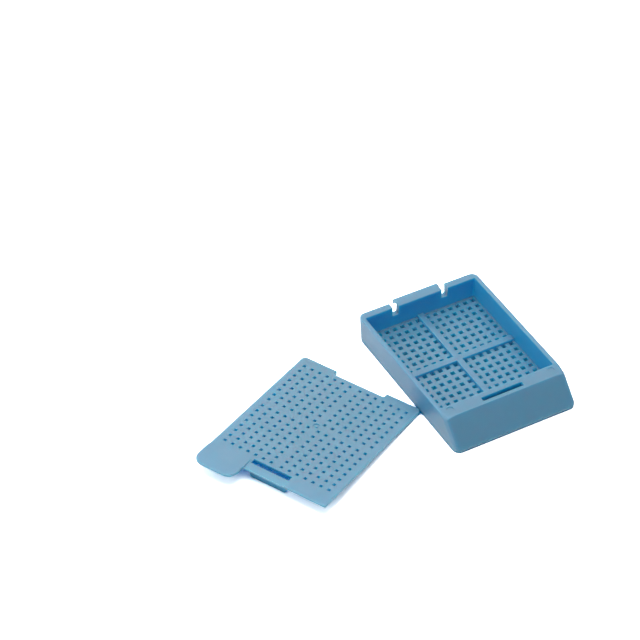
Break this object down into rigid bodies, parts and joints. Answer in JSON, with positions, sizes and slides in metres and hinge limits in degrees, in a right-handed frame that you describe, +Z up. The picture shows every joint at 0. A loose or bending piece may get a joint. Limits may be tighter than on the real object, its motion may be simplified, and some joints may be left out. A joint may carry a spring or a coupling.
{
  "type": "tissue cassette",
  "caption": "Perforated tissue cassette: a shallow tray with ribbed compartments and a sloping writing face, and its flat perforated lid with a grip tab and latch flap, taken off beside it.",
  "frame": {"origin": "on the tray's flat underside, at the middle of its grid of holes", "axes": "+X is the tray's right seen from its writing face, +Y runs from the writing face to the rear tongue, +Z is up; the lid lies on the -X side"},
  "size_m": [0.0757, 0.043, 0.0058],
  "materials": {
    "tray_acetal": "satin moulded acetal, pale blue",
    "lid_acetal": "satin moulded acetal, pale blue"
  },
  "bodies": {
    "root": {"tray": "tray_acetal", "lid": "lid_acetal"}
  },
  "joints": []
}
